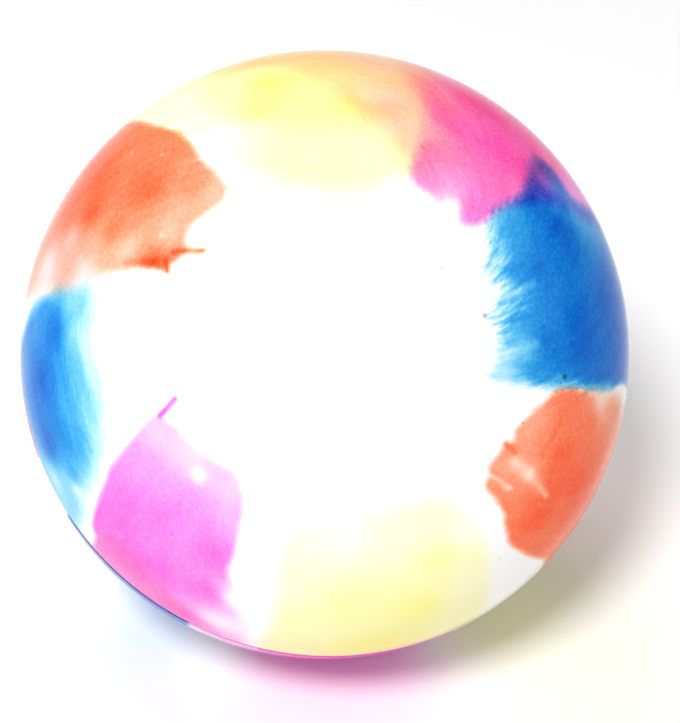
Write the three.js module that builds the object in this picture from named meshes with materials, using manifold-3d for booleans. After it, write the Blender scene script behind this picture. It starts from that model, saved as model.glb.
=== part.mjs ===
// Field hockey ball: two white half shells lapped at an equator seam, coloured inlays moulded into both, and a
// light core. Millimetres, +Z up, origin at the ball's centre, which is half a diameter above the ground.

import * as THREE from 'three';
import { mergeVertices } from 'three/addons/utils/BufferGeometryUtils.js';
import loadManifold from 'manifold-3d';

// Driving dimensions, in millimetres
const BALL_DIAMETER = 73;
const COVER_WALL = 5.5;
const INLAY_DEPTH = 1.2;
const LIP_BACKING = 1.0;
const LAP_LENGTH = 3;
const BOND_GAP = 0.3;

// How the ball lies: where the pole of its front half points, in degrees
const POLE_AZIMUTH = 11;
const POLE_ELEVATION = 49;

// Fineness of the round forms
const RADIAL_SEGMENTS = 36;
const OUTER_STEPS = 9;
const CAVITY_STEPS = 5;
const OUTLINE_SAMPLES = 26;

// Radii that follow from the driving dimensions
const BALL_RADIUS = BALL_DIAMETER / 2;
const CAVITY_RADIUS = BALL_RADIUS - COVER_WALL;
const CORE_RADIUS = CAVITY_RADIUS - BOND_GAP;
const INLAY_FLOOR_RADIUS = BALL_RADIUS - INLAY_DEPTH;
const POCKET_FLOOR_RADIUS = INLAY_FLOOR_RADIUS - BOND_GAP;
const REBATE_RADIUS = POCKET_FLOOR_RADIUS - LIP_BACKING;
const SPIGOT_RADIUS = REBATE_RADIUS - BOND_GAP;
const SEAM_FACE = BOND_GAP / 2;

// Inlay cutters are cones about the centre, from inside the wall to outside the ball
const CUTTER_INNER = CAVITY_RADIUS / 2;
const CUTTER_OUTER = BALL_DIAMETER;

// Inlay outlines run past the seam by this polar angle, so that the seam face trims them
const PAST_SEAM = 97;

const FINISHES = {
  white: { color: 0xf6f5f2, roughness: 0.15, metalness: 0 },
  yellow: { color: 0xfbf58a, roughness: 0.15, metalness: 0 },
  orange: { color: 0xff6f4a, roughness: 0.15, metalness: 0 },
  pink: { color: 0xff5fb4, roughness: 0.15, metalness: 0 },
  blue: { color: 0x0a7fe0, roughness: 0.15, metalness: 0 },
  cork: { color: 0x9a6b42, roughness: 0.9, metalness: 0 },
};

// Outlines of the front inlays: [longitude, polar angle] in degrees about the front pole. Longitude 0 is to
// the right and 90 is up. Each runs from the seam towards the pole and back to the seam.
const FRONT_INLAYS = [
  {
    name: 'front_right_blue_inlay',
    finish: 'blue',
    outline: [
      [343, PAST_SEAM], [341, 60], [331, 41], [319, 28], [330, 25], [350, 24], [8, 24], [16, 29], [20, 40],
      [21, PAST_SEAM],
    ],
  },
  {
    name: 'front_upper_right_pink_inlay',
    finish: 'pink',
    outline: [
      [28, PAST_SEAM], [29, 60], [31, 46], [27, 33], [25, 24], [33, 21], [43, 19], [55, 21], [59, 32],
      [63, 55], [63, PAST_SEAM],
    ],
  },
  {
    name: 'front_top_yellow_inlay',
    finish: 'yellow',
    outline: [
      [67, PAST_SEAM], [67, 45], [68, 28], [82, 19], [102, 19], [118, 26], [122, 40], [121, PAST_SEAM],
    ],
  },
  {
    name: 'front_upper_left_orange_inlay',
    finish: 'orange',
    outline: [
      [126, PAST_SEAM], [127, 60], [128, 47], [134, 33], [141, 29], [150, 33], [157, 33], [163, 30],
      [167, 37], [165, 60], [164, PAST_SEAM],
    ],
  },
  {
    name: 'front_left_blue_inlay',
    finish: 'blue',
    outline: [
      [168, PAST_SEAM], [169, 66], [172, 52], [181, 48], [192, 50], [199, 59], [203, 75], [204, PAST_SEAM],
    ],
  },
  {
    name: 'front_lower_left_pink_inlay',
    finish: 'pink',
    outline: [
      [213, PAST_SEAM], [210, 77], [207, 60], [204, 48], [206, 42], [217, 42], [229, 43], [235, 48],
      [238, 61], [236, 77], [234, PAST_SEAM],
    ],
  },
  {
    name: 'front_bottom_yellow_inlay',
    finish: 'yellow',
    outline: [
      [251, PAST_SEAM], [249, 68], [245, 52], [251, 43], [265, 41], [280, 43], [286, 52], [283, 74],
      [281, PAST_SEAM],
    ],
  },
  {
    name: 'front_lower_right_orange_inlay',
    finish: 'orange',
    outline: [
      [307, PAST_SEAM], [301, 73], [297, 58], [296, 46], [302, 41], [312, 39], [321, 42], [328, 47],
      [333, 62], [336, PAST_SEAM],
    ],
  },
];

// Rear inlays are tongues that run from the seam towards the rear pole: longitudes of the two sides, and the
// polar angles that the two corners of the tip reach, in degrees about the rear pole.
const REAR_INLAYS = [
  { name: 'rear_lower_left_blue_inlay', finish: 'blue', sides: [206, 235], tips: [38, 46] },
  { name: 'rear_bottom_pink_inlay', finish: 'pink', sides: [247, 286], tips: [30, 24] },
  { name: 'rear_lower_right_yellow_inlay', finish: 'yellow', sides: [296, 326], tips: [42, 36] },
  { name: 'rear_right_orange_inlay', finish: 'orange', sides: [338, 369], tips: [34, 29] },
  { name: 'rear_upper_right_blue_inlay', finish: 'blue', sides: [21, 52], tips: [26, 33] },
  { name: 'rear_top_pink_inlay', finish: 'pink', sides: [61, 97], tips: [31, 38] },
  { name: 'rear_upper_left_yellow_inlay', finish: 'yellow', sides: [109, 146], tips: [25, 31] },
  { name: 'rear_left_orange_inlay', finish: 'orange', sides: [157, 193], tips: [40, 33] },
];

// Shape of a rear tongue's tip: how far its corners draw in, and where its flanks begin to curve, in degrees
const TIP_DRAW_IN = 8;
const FLANK_POLAR = 64;

// Corners closer than this are one corner
const MERGE_DISTANCE = 1e-4;

const wasm = await loadManifold();
wasm.setup();

// Closed solid from a geometry, with shared corners merged and flat triangles at the axis left out
function solidOf(geometry) {
  const bare = geometry.clone();
  bare.deleteAttribute('normal');
  bare.deleteAttribute('uv');
  const merged = mergeVertices(bare, MERGE_DISTANCE);
  const corners = merged.index.array;
  const triangles = [];
  for (let i = 0; i < corners.length; i += 3) {
    const [a, b, c] = [corners[i], corners[i + 1], corners[i + 2]];
    if (a !== b && b !== c && c !== a) {
      triangles.push(a, b, c);
    }
  }
  return new wasm.Manifold(new wasm.Mesh({
    numProp: 3,
    vertProperties: new Float32Array(merged.attributes.position.array),
    triVerts: new Uint32Array(triangles),
  }));
}

function geometryOf(solid) {
  const { vertProperties, triVerts } = solid.getMesh();
  const geometry = new THREE.BufferGeometry();
  geometry.setAttribute('position', new THREE.BufferAttribute(vertProperties, 3));
  geometry.setIndex(new THREE.BufferAttribute(triVerts, 1));
  geometry.computeVertexNormals();
  return geometry;
}

// Points of a circle about the origin in the lathe's half plane, between two heights on it
function arcPoints(radius, fromHeight, toHeight, steps) {
  const from = Math.asin(fromHeight / radius);
  const to = Math.asin(toHeight / radius);
  return Array.from({ length: steps + 1 }, (_, i) => {
    const angle = from + ((to - from) * i) / steps;
    return new THREE.Vector2(Math.max(0, radius * Math.cos(angle)), radius * Math.sin(angle));
  });
}

// Solid of revolution about the pole. The profile starts and ends on the axis.
function revolve(profile) {
  profile[0].x = 0;
  profile[profile.length - 1].x = 0;
  return solidOf(new THREE.LatheGeometry(profile, RADIAL_SEGMENTS));
}

function ballSolid(radius, quarterSteps) {
  return revolve(arcPoints(radius, -radius, radius, 2 * quarterSteps));
}

// Front half: outer face, seam face, spigot past the seam, cavity
function frontBlank() {
  const profile = [
    ...arcPoints(CAVITY_RADIUS, CAVITY_RADIUS, 0, CAVITY_STEPS),
    ...arcPoints(CAVITY_RADIUS, 0, -LAP_LENGTH, 1).slice(1),
    new THREE.Vector2(SPIGOT_RADIUS, -LAP_LENGTH),
    new THREE.Vector2(SPIGOT_RADIUS, SEAM_FACE),
    ...arcPoints(BALL_RADIUS, SEAM_FACE, BALL_RADIUS, OUTER_STEPS),
  ];
  return revolve(profile);
}

// Rear half: outer face, seam face, rebate round the spigot, cavity
function rearBlank() {
  const rebateFloor = -(LAP_LENGTH + BOND_GAP);
  const profile = [
    ...arcPoints(BALL_RADIUS, -BALL_RADIUS, -SEAM_FACE, OUTER_STEPS),
    new THREE.Vector2(REBATE_RADIUS, -SEAM_FACE),
    new THREE.Vector2(REBATE_RADIUS, rebateFloor),
    ...arcPoints(CAVITY_RADIUS, rebateFloor, -CAVITY_RADIUS, CAVITY_STEPS),
  ];
  return revolve(profile);
}

// Direction from the centre, by longitude and polar angle about the pole of one side: 1 is front, -1 is rear
function direction([longitude, polar], side) {
  const around = THREE.MathUtils.degToRad(longitude);
  const down = THREE.MathUtils.degToRad(polar);
  return new THREE.Vector3(
    Math.sin(down) * Math.cos(around),
    side * Math.cos(down),
    -Math.sin(down) * Math.sin(around),
  );
}

function tongueOutline({ sides: [start, end], tips: [startTip, endTip] }) {
  return [
    [start, PAST_SEAM],
    [start, FLANK_POLAR],
    [start + TIP_DRAW_IN, startTip],
    [end - TIP_DRAW_IN, endTip],
    [end, FLANK_POLAR],
    [end, PAST_SEAM],
  ];
}

// Loop of directions along a smooth curve through an outline, closed past the seam and turning anticlockwise
function outlineLoop(outline, side) {
  const corners = outline.map((angles) => direction(angles, side));
  const curve = new THREE.CatmullRomCurve3(corners, false, 'centripetal');
  const loop = curve.getSpacedPoints(OUTLINE_SAMPLES);
  loop.forEach((point) => point.normalize());
  const middle = middleOf(loop);
  const turn = loop.reduce((sum, point, i) => {
    const next = loop[(i + 1) % loop.length];
    return sum + new THREE.Vector3().crossVectors(point, next).dot(middle);
  }, 0);
  return turn > 0 ? loop : loop.reverse();
}

function middleOf(loop) {
  return loop.reduce((sum, point) => sum.add(point), new THREE.Vector3()).normalize();
}

// The same loop moved outward along the surface of the ball by a distance
function widenLoop(loop, distance) {
  return loop.map((point, i) => {
    const next = loop[(i + 1) % loop.length];
    const last = loop[(i + loop.length - 1) % loop.length];
    const along = new THREE.Vector3().subVectors(next, last);
    const outward = new THREE.Vector3().crossVectors(along, point).normalize();
    return point.clone().addScaledVector(outward, distance / BALL_RADIUS).normalize();
  });
}

// Cone about the centre that stands on a loop, closed by a fan at each end
function coneSolid(loop) {
  const middle = middleOf(loop);
  const points = [
    ...loop.map((point) => point.clone().multiplyScalar(CUTTER_INNER)),
    ...loop.map((point) => point.clone().multiplyScalar(CUTTER_OUTER)),
    middle.clone().multiplyScalar(CUTTER_INNER),
    middle.clone().multiplyScalar(CUTTER_OUTER),
  ];
  const count = loop.length;
  const [innerMiddle, outerMiddle] = [2 * count, 2 * count + 1];
  const faces = loop.flatMap((_, i) => {
    const j = (i + 1) % count;
    return [i, j, count + j, i, count + j, count + i, innerMiddle, j, i, outerMiddle, count + i, count + j];
  });
  const geometry = new THREE.BufferGeometry().setFromPoints(points);
  geometry.setIndex(faces);
  return solidOf(geometry);
}

function namedMesh(name, solid, finish) {
  const mesh = new THREE.Mesh(geometryOf(solid), new THREE.MeshStandardMaterial(FINISHES[finish]));
  mesh.name = name;
  return mesh;
}

// One half of the ball: its cover with a pocket for each inlay, and the inlays
function halfMeshes(coverName, blank, inlays, side) {
  const inlayFloor = ballSolid(INLAY_FLOOR_RADIUS, OUTER_STEPS);
  const pocketFloor = ballSolid(POCKET_FLOOR_RADIUS, OUTER_STEPS);
  let cover = blank;
  const meshes = inlays.map(({ name, finish, outline }) => {
    const loop = outlineLoop(outline, side);
    cover = cover.subtract(coneSolid(widenLoop(loop, BOND_GAP)).subtract(pocketFloor));
    return namedMesh(name, coneSolid(loop).intersect(blank).subtract(inlayFloor), finish);
  });
  return [namedMesh(coverName, cover, 'white'), ...meshes];
}

// Turns the ball so that its front pole, built along +Y, points the way that the ball lies
function lieOfBall() {
  const azimuth = THREE.MathUtils.degToRad(POLE_AZIMUTH);
  const elevation = THREE.MathUtils.degToRad(POLE_ELEVATION);
  const right = new THREE.Vector3(Math.cos(azimuth), Math.sin(azimuth), 0);
  const pole = new THREE.Vector3(
    Math.sin(azimuth) * Math.cos(elevation),
    -Math.cos(azimuth) * Math.cos(elevation),
    Math.sin(elevation),
  );
  const down = new THREE.Vector3().crossVectors(right, pole);
  return new THREE.Matrix4().makeBasis(right, pole, down);
}

const rearOutlines = REAR_INLAYS.map((inlay) => ({ ...inlay, outline: tongueOutline(inlay) }));

const ball = new THREE.Group();
ball.name = 'field_hockey_ball';
ball.quaternion.setFromRotationMatrix(lieOfBall());
ball.add(
  ...halfMeshes('front_cover', frontBlank(), FRONT_INLAYS, 1),
  ...halfMeshes('rear_cover', rearBlank(), rearOutlines, -1),
  namedMesh('core', ballSolid(CORE_RADIUS, CAVITY_STEPS), 'cork'),
);

export default ball;
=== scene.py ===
"""Field hockey ball: two glossy marbled PVC half shells with colour inlays, round a granulate core."""

import logging
import math
from dataclasses import dataclass, field
from enum import Enum

import bpy
import numpy as np
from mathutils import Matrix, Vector
from mathutils.geometry import delaunay_2d_cdt

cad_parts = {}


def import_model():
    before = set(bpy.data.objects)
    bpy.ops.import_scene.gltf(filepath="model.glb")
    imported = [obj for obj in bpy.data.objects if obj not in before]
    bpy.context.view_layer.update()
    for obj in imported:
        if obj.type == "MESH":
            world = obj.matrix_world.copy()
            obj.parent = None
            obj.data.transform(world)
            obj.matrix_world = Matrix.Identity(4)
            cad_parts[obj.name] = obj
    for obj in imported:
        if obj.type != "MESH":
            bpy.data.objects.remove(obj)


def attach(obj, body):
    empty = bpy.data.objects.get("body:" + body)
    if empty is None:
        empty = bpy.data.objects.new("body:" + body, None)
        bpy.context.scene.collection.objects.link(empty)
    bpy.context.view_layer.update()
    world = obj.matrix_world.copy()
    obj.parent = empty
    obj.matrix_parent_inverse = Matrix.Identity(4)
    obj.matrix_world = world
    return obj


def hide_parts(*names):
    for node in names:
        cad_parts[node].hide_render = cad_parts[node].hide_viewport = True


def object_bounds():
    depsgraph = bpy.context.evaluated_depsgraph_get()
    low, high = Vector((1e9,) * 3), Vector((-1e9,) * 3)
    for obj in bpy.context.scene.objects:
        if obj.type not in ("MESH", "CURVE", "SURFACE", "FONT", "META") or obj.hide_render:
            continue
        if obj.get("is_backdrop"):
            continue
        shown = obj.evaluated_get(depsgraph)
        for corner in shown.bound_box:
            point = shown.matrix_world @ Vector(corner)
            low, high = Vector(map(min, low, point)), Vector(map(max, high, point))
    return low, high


LOG = logging.getLogger("hockey_ball")
BODY = "root"
WHITE_SLOT = "white_cover"
CORE_SLOT = "cork_core"
MM = 0.001

# Polar angle of the seam, and the one beyond it at which outlines end, in degrees
SEAM_POLAR = 90.0
PAST_SEAM = 97.0

# Colour data of a point without colour: distance inside the edge, load, softness and frill
BARE = (-20.0, 0.0, 1.0, 0.0)

# A dab pulls with the inverse of this power of its distance, once this reach in millimetres is added
DAB_FALL = 3
DAB_REACH = 0.9

# A speck has faded out at this many times its radius
SPECK_FADE = 1.5

# Corners of the flat disk that lie closer than this are one
MERGE_DISTANCE = 1e-6

# Least square of a line's length to divide by, for a line that is only a point
LEAST_SQUARE = 1e-12

# Places of the colour sockets on a Mix node
MIX_UNDER = 6
MIX_OVER = 7
MIX_RESULT = 2

# A colour or a direction, a pair of longitude and polar angle in degrees, and a run of such pairs
Triple = tuple[float, float, float]
Angles = tuple[float, float]
Outline = tuple[Angles, ...]


class Side(Enum):
    """Which half of the moulding a piece belongs to, by the sign of its pole."""

    FRONT = 1
    REAR = -1


class Pigment(Enum):
    """The four colours moulded into the white, each with the record's slot of its inlays."""

    YELLOW = "yellow_inlay"
    ORANGE = "orange_inlay"
    PINK = "pink_inlay"
    BLUE = "blue_inlay"

    @property
    def attribute(self) -> str:
        """Name of the mesh attribute that carries this colour's swirl."""
        return "dye_" + self.name.lower()


@dataclass(frozen=True)
class Dab:
    """How much colour lies at one place of a patch.

    Angles are in degrees about the pole; soft is the width of the colour's edge and frill
    how far it wanders, in millimetres.
    """

    lon: float
    polar: float
    load: float
    soft: float = 1.1
    frill: float = 0.2


@dataclass(frozen=True)
class Stroke:
    """A thin tapered line along which a patch is denser, or paler where its gain is negative.

    Ends are (longitude, polar) in degrees and widths are half widths in millimetres.
    """

    start: Angles
    end: Angles
    start_width: float
    end_width: float
    gain: float


def dot(lon: float, polar: float, width: float, gain: float) -> Stroke:
    """Give a stroke that is a round spot."""
    return Stroke((lon, polar), (lon, polar), width, width, gain)


@dataclass(frozen=True)
class Speck:
    """A dark speck in the skin: its angles in degrees, its radius in millimetres and its strength."""

    lon: float
    polar: float
    size: float
    strength: float


@dataclass(frozen=True)
class Patch:
    """One coloured area of a half: its outline, its dabs of colour and its fine strokes.

    The shade is the edge of the colour where it bleeds past the inlay's outline or stops short of it. The
    twist is the angle in degrees at which the colour was drawn out, from the meridians.
    """

    name: str
    pigment: Pigment
    outline: Outline
    dabs: tuple[Dab, ...]
    strokes: tuple[Stroke, ...] = ()
    shade: Outline = ()
    twist: float = 40.0
    is_inlay: bool = True


@dataclass(frozen=True)
class PoleFrame:
    """Axes of the moulding in the part's frame, from the direction of the front pole in degrees."""

    azimuth: float = 11.0
    elevation: float = 49.0

    def axes(self) -> tuple[np.ndarray, np.ndarray, np.ndarray]:
        """Work out the right, up and pole axes.

        Returns:
            Three unit vectors in the part's frame.
        """
        turn = math.radians(self.azimuth)
        lift = math.radians(self.elevation)
        right = np.array([math.cos(turn), math.sin(turn), 0.0])
        pole = np.array(
            [math.sin(turn) * math.cos(lift), -math.cos(turn) * math.cos(lift), math.sin(lift)]
        )
        return right, np.cross(pole, right), pole

    def directions(self, lon: np.ndarray, polar: np.ndarray, side: Side) -> np.ndarray:
        """Turn angles about the pole into unit directions.

        Args:
            lon: Longitudes in degrees, from the right axis towards the up axis.
            polar: Angles from the half's own pole, in degrees.
            side: The half that the angles belong to.

        Returns:
            One unit vector per row.
        """
        right, up, pole = self.axes()
        lon = np.radians(np.asarray(lon, dtype=float))[..., None]
        polar = np.radians(np.asarray(polar, dtype=float))[..., None]
        ring = np.cos(lon) * right + np.sin(lon) * up
        return np.sin(polar) * ring + side.value * np.cos(polar) * pole


def to_seam(start: float, end: float, *corners: Angles) -> Outline:
    """Give an outline that comes from past the seam, runs through its corners and goes back there."""
    return ((start, PAST_SEAM), *corners, (end, PAST_SEAM))


def ring_steps(number: int) -> list[tuple[int, int]]:
    """Give each place of a closed ring together with the next one."""
    return [(i, (i + 1) % number) for i in range(number)]


def flat(lon: np.ndarray, polar: np.ndarray) -> np.ndarray:
    """Lay angles out on the flat disk that a half unrolls to, pole in the middle, in degrees."""
    lon = np.radians(np.asarray(lon, dtype=float))
    return np.stack([polar * np.cos(lon), polar * np.sin(lon)], axis=-1)


def unflat(points: np.ndarray) -> tuple[np.ndarray, np.ndarray]:
    """Give the longitudes and polar angles of points on the flat disk, in degrees."""
    return np.degrees(np.arctan2(points[:, 1], points[:, 0])), np.hypot(points[:, 0], points[:, 1])


def smooth_through(corners: np.ndarray, per_span: int) -> np.ndarray:
    """Run an open centripetal Catmull-Rom curve through corner points.

    Args:
        corners: The corners, one per row.
        per_span: Samples between two corners.

    Returns:
        The curve's points, first and last corner included.
    """
    first = 2 * corners[0] - corners[1]
    last = 2 * corners[-1] - corners[-2]
    knots = np.vstack([first, corners, last])
    gaps = np.sqrt(np.linalg.norm(np.diff(knots, axis=0), axis=1))
    share = np.linspace(0, 1, per_span, endpoint=False)[:, None]
    spans = []
    for i in range(1, len(knots) - 2):
        before, here, after, beyond = knots[i - 1:i + 3]
        lead, span, trail = gaps[i - 1:i + 2]
        leave = (here - before) / lead - (after - before) / (lead + span) + (after - here) / span
        arrive = (after - here) / span - (beyond - here) / (span + trail) + (beyond - after) / trail
        leave = leave * span
        arrive = arrive * span
        cubic = 2 * here - 2 * after + leave + arrive
        square = -3 * here + 3 * after - 2 * leave - arrive
        spans.append(here + share * (leave + share * (square + share * cubic)))
    return np.vstack(spans + [corners[-1:]])


def inside_loop(points: np.ndarray, loop: np.ndarray) -> np.ndarray:
    """Say which flat points lie inside a closed flat loop, by counting crossings.

    Args:
        points: The points, one per row.
        loop: The loop's corners, one per row.

    Returns:
        Whether each point lies inside.
    """
    start = loop
    end = np.roll(loop, -1, axis=0)
    above = (start[None, :, 1] > points[:, None, 1]) != (end[None, :, 1] > points[:, None, 1])
    rise = np.where(end[:, 1] == start[:, 1], 1.0, end[:, 1] - start[:, 1])
    slope = (end[:, 0] - start[:, 0]) / rise
    crossing = start[None, :, 0] + (points[:, None, 1] - start[None, :, 1]) * slope[None, :]
    return (above & (points[:, None, 0] < crossing)).sum(axis=1) % 2 == 1


def line_distance(points: np.ndarray, line: np.ndarray) -> tuple[np.ndarray, np.ndarray]:
    """Measure how far points lie from an open line of straight pieces.

    Args:
        points: The points, one per row.
        line: The line's corners, one per row.

    Returns:
        The least distance of each point, and how far along the line its nearest place is, from 0 to 1.
    """
    start = line[:-1]
    step = line[1:] - start
    square = np.maximum((step ** 2).sum(axis=1), LEAST_SQUARE)
    nearest = np.full(len(points), np.inf)
    along = np.zeros(len(points))
    for i in range(len(start)):
        share = np.clip(((points - start[i]) @ step[i]) / square[i], 0, 1)
        apart = np.linalg.norm(points - start[i] - share[:, None] * step[i], axis=1)
        closer = apart < nearest
        nearest[closer] = apart[closer]
        along[closer] = (i + share[closer]) / len(start)
    return nearest, along


@dataclass(frozen=True)
class BallSizes:
    """Sizes of the ball in millimetres, with the radius taken from the loaded frame."""

    radius: float
    cover_wall: float = 5.5
    inlay_depth: float = 1.2
    bond_gap: float = 0.3
    lip_backing: float = 1.0
    lap_length: float = 3.0
    seam_depth: float = 0.12
    seam_width: float = 0.2
    # Width of the dark line painted along the seam: painted shade of its groove
    seam_shade_width: float = 0.22
    cavity_steps: int = 15

    @property
    def cavity_radius(self) -> float:
        """Radius of the hollow that holds the core."""
        return self.radius - self.cover_wall

    @property
    def inlay_floor(self) -> float:
        """Radius of an inlay's underside."""
        return self.radius - self.inlay_depth

    @property
    def pocket_floor(self) -> float:
        """Radius of the cover's pocket under an inlay."""
        return self.inlay_floor - self.bond_gap

    @property
    def rebate_radius(self) -> float:
        """Radius of the rear half's rebate at the lap joint."""
        return self.pocket_floor - self.lip_backing

    @property
    def spigot_radius(self) -> float:
        """Radius of the front half's spigot at the lap joint."""
        return self.rebate_radius - self.bond_gap

    def from_seam(self, polar: np.ndarray) -> np.ndarray:
        """Distance from the seam along the skin."""
        return np.radians(SEAM_POLAR - polar) * self.radius

    def groove(self, polar: np.ndarray) -> np.ndarray:
        """Depth of the fine groove along the seam."""
        return self.seam_depth * np.exp(-(self.from_seam(polar) / self.seam_width) ** 2)

    def skin_radius(self, polar: np.ndarray) -> np.ndarray:
        """Radius of the outer skin, which dips at the groove."""
        return self.radius - self.groove(polar)

    def skin_lean(self, polar: np.ndarray) -> np.ndarray:
        """Slope of the outer skin along a meridian, where the groove bends it."""
        return -2 * self.from_seam(polar) / self.seam_width ** 2 * self.groove(polar)


class MeshDraft:
    """Points and faces of one piece while it is put together."""

    def __init__(self) -> None:
        """Start with nothing."""
        self.points: list[np.ndarray] = []
        self.sources: list[np.ndarray] = []
        self.faces: list[tuple[int, ...]] = []
        self.skin_faces: list[bool] = []
        self.count = 0

    def add_points(self, points: np.ndarray, sources: np.ndarray) -> int:
        """Add points in millimetres.

        Args:
            points: The points, one per row.
            sources: For each, the sheet's point whose colour it takes, or -1 for none.

        Returns:
            The index of the first one added.
        """
        first = self.count
        self.points.append(points)
        self.sources.append(np.asarray(sources, dtype=int))
        self.count += len(points)
        return first

    def add_faces(self, faces: np.ndarray | list, is_skin: bool = False) -> None:
        """Add faces.

        Args:
            faces: The indices of each face's points.
            is_skin: Whether they are on the outer skin.
        """
        rows = [tuple(int(i) for i in face) for face in faces]
        self.faces.extend(rows)
        self.skin_faces.extend([is_skin] * len(rows))


@dataclass
class Sheet:
    """The triangulated outer skin of one half, and the patch that each triangle belongs to."""

    lon: np.ndarray
    polar: np.ndarray
    triangles: np.ndarray
    owner: np.ndarray
    rim: np.ndarray


def loose_edges(triangles: np.ndarray) -> np.ndarray:
    """Find the edges that only one triangle uses.

    Args:
        triangles: Three point indices per row.

    Returns:
        The edges, each in its triangle's own direction.
    """
    edges = np.vstack([triangles[:, list(step)] for step in ring_steps(3)]).astype(np.int64)
    span = int(edges.max()) + 1
    there = edges[:, 0] * span + edges[:, 1]
    back = edges[:, 1] * span + edges[:, 0]
    return edges[~np.isin(there, back)]


@dataclass
class HalfShell:
    """One half of the ball: its white cover and the colour inlays set into it.

    Grid step, rim rings, flow start and crease are in degrees and the fine step is in millimetres.
    The grid's clearance is in grid steps.
    """

    side: Side
    pole: PoleFrame
    sizes: BallSizes
    patches: tuple[Patch, ...]
    specks: tuple[Speck, ...] = ()
    grid_step: float = 1.5
    grid_clearance: float = 0.55
    least_in_ring: int = 6
    rim_points: int = 480
    rim_rings: tuple[float, ...] = (0.0, 0.1, 0.2, 0.35, 0.55, 0.9)
    curve_steps: int = 14
    closing_points: int = 14
    shade_steps: int = 5
    fine_step: float = 0.22
    fine_margin_steps: float = 2.0
    fine_width_share: float = 0.6
    flow_start: float = 3.0
    flow_shift: float = 1.7
    crease: float = 35.0
    pieces: dict[str, bpy.types.Object] = field(default_factory=dict)

    @property
    def cover_name(self) -> str:
        """Node that this half's cover stands for."""
        return self.side.name.lower() + "_cover"

    @property
    def inlays(self) -> list[Patch]:
        """The patches that are pieces of their own."""
        return [patch for patch in self.patches if patch.is_inlay]

    def on_ball(self, lon: np.ndarray | float, polar: np.ndarray | float) -> np.ndarray:
        """Give the places on the round of the ball at some angles, in millimetres."""
        return self.pole.directions(lon, polar, self.side) * self.sizes.radius

    def smooth_outline(self, outline: Outline, per_span: int) -> np.ndarray:
        """Run a smooth outline over the unit sphere.

        Args:
            outline: Its corners as (longitude, polar) in degrees, with the ends past the seam.
            per_span: Samples between two corners.

        Returns:
            Longitudes and polar angles, one pair per row, open past the seam.
        """
        angles = np.array(outline, dtype=float)
        corners = self.pole.directions(angles[:, 0], angles[:, 1], self.side)
        curve = smooth_through(corners, per_span)
        curve /= np.linalg.norm(curve, axis=1)[:, None]
        right, up, pole = self.pole.axes()
        lon = np.degrees(np.arctan2(curve @ up, curve @ right))
        polar = np.degrees(np.arccos(np.clip(self.side.value * (curve @ pole), -1, 1)))
        return np.column_stack([lon, polar])

    def closed_loop(self, curve: np.ndarray) -> np.ndarray:
        """Close an outline past the seam.

        Args:
            curve: The outline's longitudes and polar angles, one pair per row.

        Returns:
            The loop on the flat disk.
        """
        turn = (curve[0, 0] - curve[-1, 0] + 180) % 360 - 180
        lon = curve[-1, 0] + turn * np.linspace(0, 1, self.closing_points)
        arc = flat(lon, np.full(len(lon), PAST_SEAM))
        return np.vstack([flat(curve[:, 0], curve[:, 1]), arc])

    def fine_points(self) -> np.ndarray:
        """Scatter close points round the strokes and specks, so that the sheet can carry them.

        Returns:
            Points on the flat disk.
        """
        degree = math.radians(1) * self.sizes.radius
        lines = [
            (stroke.start, stroke.end, max(stroke.start_width, stroke.end_width))
            for patch in self.patches
            for stroke in patch.strokes
        ]
        lines += [((speck.lon, speck.polar), (speck.lon, speck.polar), speck.size) for speck in self.specks]
        found = []
        for start, end, width in lines:
            ends = flat(np.array([start[0], end[0]]), np.array([start[1], end[1]]))
            reach = (width + self.fine_margin_steps * self.fine_step) / degree
            step = min(self.fine_step, self.fine_width_share * width) / degree
            across = np.arange(ends[:, 0].min() - reach, ends[:, 0].max() + reach, step)
            upward = np.arange(ends[:, 1].min() - reach, ends[:, 1].max() + reach, step)
            grid = np.stack(np.meshgrid(across, upward), axis=-1).reshape(-1, 2)
            near, _ = line_distance(grid, ends)
            found.append(grid[near < reach])
        return np.vstack(found) if found else np.zeros((0, 2))

    def triangulate(self) -> Sheet:
        """Fill the flat disk with triangles that follow the inlays' outlines and the seam.

        Returns:
            The sheet, with its triangles counter-clockwise on the flat disk.
        """
        loops = []
        points = []
        edges = []
        count = 0
        for patch in self.inlays:
            curve = self.smooth_outline(patch.outline, self.curve_steps)
            line = flat(curve[:, 0], curve[:, 1])
            edges += [(count + i, count + i + 1) for i in range(len(line) - 1)]
            points.append(line)
            count += len(line)
            loops.append(self.closed_loop(curve))
        outline_points = np.vstack(points)
        ring_lon = np.arange(self.rim_points) * 360 / self.rim_points
        for inset in self.rim_rings:
            edges += [(count + i, count + j) for i, j in ring_steps(self.rim_points)]
            points.append(flat(ring_lon, np.full(self.rim_points, SEAM_POLAR - inset)))
            count += self.rim_points
        points.append(self.fine_points())
        points.append(self.coarse_points(outline_points))
        corners = [Vector(p) for p in np.vstack(points).tolist()]
        found = delaunay_2d_cdt(corners, edges, [], 0, MERGE_DISTANCE, False)
        placed = np.array([tuple(p) for p in found[0]])
        triangles = np.array([tuple(t) for t in found[2]])
        middle = placed[triangles].mean(axis=1)
        rim_chord = SEAM_POLAR * math.cos(math.pi / self.rim_points)
        keep = np.hypot(middle[:, 0], middle[:, 1]) < rim_chord
        triangles = triangles[keep]
        used, triangles = np.unique(triangles, return_inverse=True)
        triangles = triangles.reshape(-1, 3)
        placed = placed[used]
        middle = placed[triangles].mean(axis=1)
        owner = np.full(len(triangles), -1)
        for index, loop in enumerate(loops):
            owner[inside_loop(middle, loop)] = index
        lon, polar = unflat(placed)
        on_rim = polar > SEAM_POLAR - 0.5 * self.rim_rings[1]
        polar = np.where(on_rim, SEAM_POLAR, polar)
        rim = np.nonzero(on_rim)[0]
        rim = rim[np.argsort(lon[rim] % 360)]
        return Sheet(lon, polar, triangles, owner, rim)

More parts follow.
